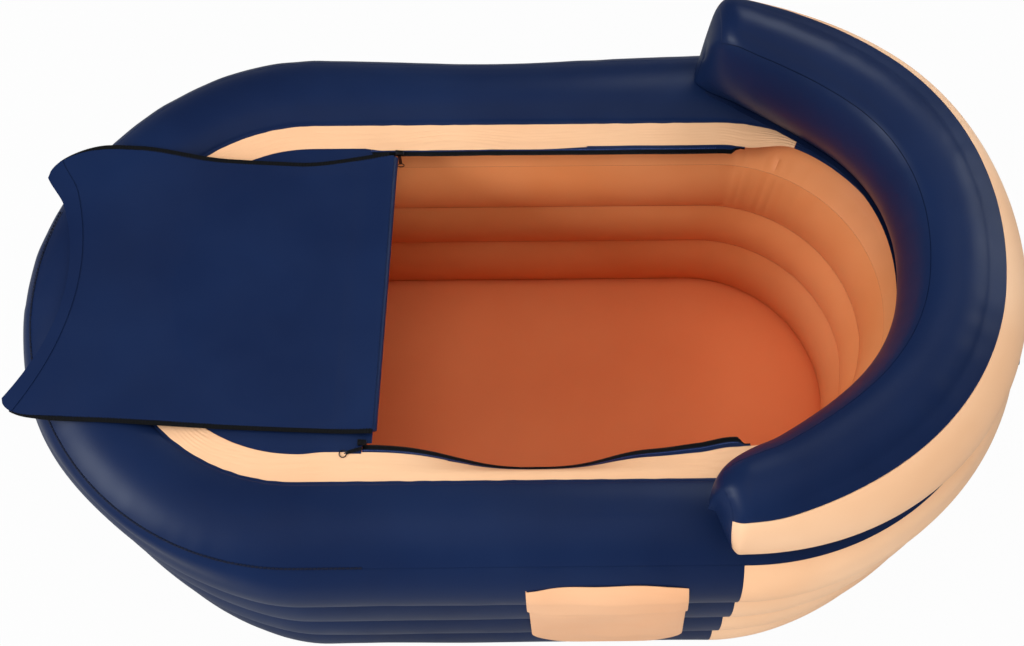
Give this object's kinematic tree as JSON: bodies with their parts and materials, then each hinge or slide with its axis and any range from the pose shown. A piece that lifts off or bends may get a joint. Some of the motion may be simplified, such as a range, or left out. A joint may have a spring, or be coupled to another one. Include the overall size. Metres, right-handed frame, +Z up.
{
  "type": "inflatable bathtub",
  "caption": "Long inflatable bathtub of stacked air rings with a raised horseshoe backrest, a zip cover folded back over the foot end and a side pocket.",
  "frame": {"origin": "middle of the underside, on the ground", "axes": "+X towards the backrest end, -Y towards the side with the pocket, +Z up"},
  "size_m": [1.6383, 0.9789, 0.7493],
  "materials": {
    "navy_vinyl": "satin PVC sheet",
    "peach_vinyl": "satin PVC sheet",
    "orange_vinyl": "satin PVC sheet",
    "clear_vinyl": "plain PVC sheet",
    "zip_tape": "black coil zip tape",
    "zip_metal": "black lacquered die casting",
    "valve_plastic": "moulded PVC"
  },
  "bodies": {
    "tub": {"ground_sheet": "navy_vinyl", "floor_pad": "orange_vinyl", "chamber_lower": "orange_vinyl", "chamber_middle": "orange_vinyl", "chamber_upper": "orange_vinyl", "chamber_rim": "orange_vinyl", "web_lower": "clear_vinyl", "web_middle": "clear_vinyl", "web_upper": "clear_vinyl", "foot_skin_lower": "navy_vinyl", "foot_skin_middle": "navy_vinyl", "foot_skin_upper": "navy_vinyl", "foot_skin_rim": "navy_vinyl", "head_skin_lower": "peach_vinyl", "head_skin_middle": "peach_vinyl", "head_skin_upper": "peach_vinyl", "head_skin_rim": "peach_vinyl", "top_sheet": "navy_vinyl", "flange_band": "peach_vinyl", "flange_head": "navy_vinyl", "zip_strip_near": "navy_vinyl", "zip_strip_far": "navy_vinyl", "zip_tape_near": "zip_tape", "zip_tape_far": "zip_tape", "cover_panel": "navy_vinyl", "cover_fold": "navy_vinyl", "backrest_chamber": "clear_vinyl", "backrest_outer_sheet": "peach_vinyl", "backrest_top_sheet": "navy_vinyl", "backrest_inner_sheet": "navy_vinyl", "backrest_weld": "clear_vinyl", "backrest_end_near": "navy_vinyl", "backrest_end_far": "navy_vinyl", "side_pocket": "peach_vinyl", "valve_body_1": "valve_plastic", "valve_body_2": "valve_plastic"},
    "flap": {"cover_flap": "navy_vinyl", "flap_hem": "navy_vinyl", "flap_tape_near": "zip_tape", "flap_tape_far": "zip_tape"},
    "slider_near": {"slider_near": "zip_metal"},
    "slider_far": {"slider_far": "zip_metal"},
    "pull_near": {"pull_near": "zip_metal"},
    "pull_far": {"pull_far": "zip_metal"},
    "cap_1": {"valve_cap_1": "valve_plastic"},
    "cap_2": {"valve_cap_2": "valve_plastic"}
  },
  "joints": [
    {"name": "cover_fold_hinge", "type": "hinge", "parent": "tub", "child": "flap", "pos_m": [-0.212, 0, 0.5616], "axis": [0.0489, 0.9988, 0], "range_deg": [0, 178]},
    {"name": "near_zip_slide", "type": "slide", "parent": "tub", "child": "slider_near", "axis": [1, 0, 0], "range_m": [0, 0.59]},
    {"name": "far_zip_slide", "type": "slide", "parent": "tub", "child": "slider_far", "axis": [1, 0, 0], "range_m": [0, 0.51]},
    {"name": "near_pull_hinge", "type": "hinge", "parent": "slider_near", "child": "pull_near", "pos_m": [-0.243, -0.25855, 0.5593], "axis": [-0.2924, 0.9563, 0], "range_deg": [0, 90]},
    {"name": "far_pull_hinge", "type": "hinge", "parent": "slider_far", "child": "pull_far", "pos_m": [-0.19548, 0.2495, 0.5611], "axis": [-1, 0, 0], "range_deg": [0, 60]},
    {"name": "valve_cap_1_pull", "type": "slide", "parent": "tub", "child": "cap_1", "axis": [0.9131, -0.0812, 0.3996], "range_m": [0, 0.012]},
    {"name": "valve_cap_2_pull", "type": "slide", "parent": "tub", "child": "cap_2", "axis": [0.887, -0.245, 0.3914], "range_m": [0, 0.012]}
  ]
}
